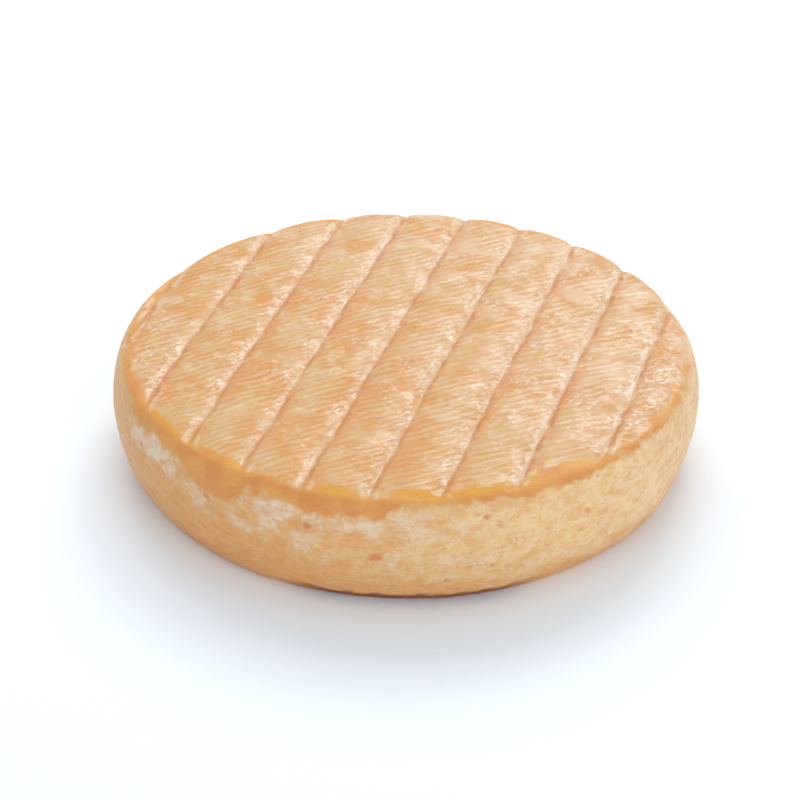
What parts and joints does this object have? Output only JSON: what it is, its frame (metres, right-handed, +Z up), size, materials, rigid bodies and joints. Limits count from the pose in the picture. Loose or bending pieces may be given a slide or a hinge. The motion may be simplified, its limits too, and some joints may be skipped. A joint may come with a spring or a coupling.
{
  "type": "munster cheese",
  "caption": "Whole round washed-rind cheese: a low wheel with bulging sides and straight ripening-rack marks pressed across both flat faces.",
  "frame": {"origin": "middle of the base, on the plane that the wheel rests on", "axes": "+Z up through the upper face; +Y along the rack marks of the upper face; +X across them, towards their steep side"},
  "size_m": [0.1676, 0.168, 0.0347],
  "materials": {
    "washed_rind": "moist orange-tan washed rind with a soft sheen on top and a pale bloom on the side"
  },
  "bodies": {
    "root": {"cheese_wheel": "washed_rind"}
  },
  "joints": []
}
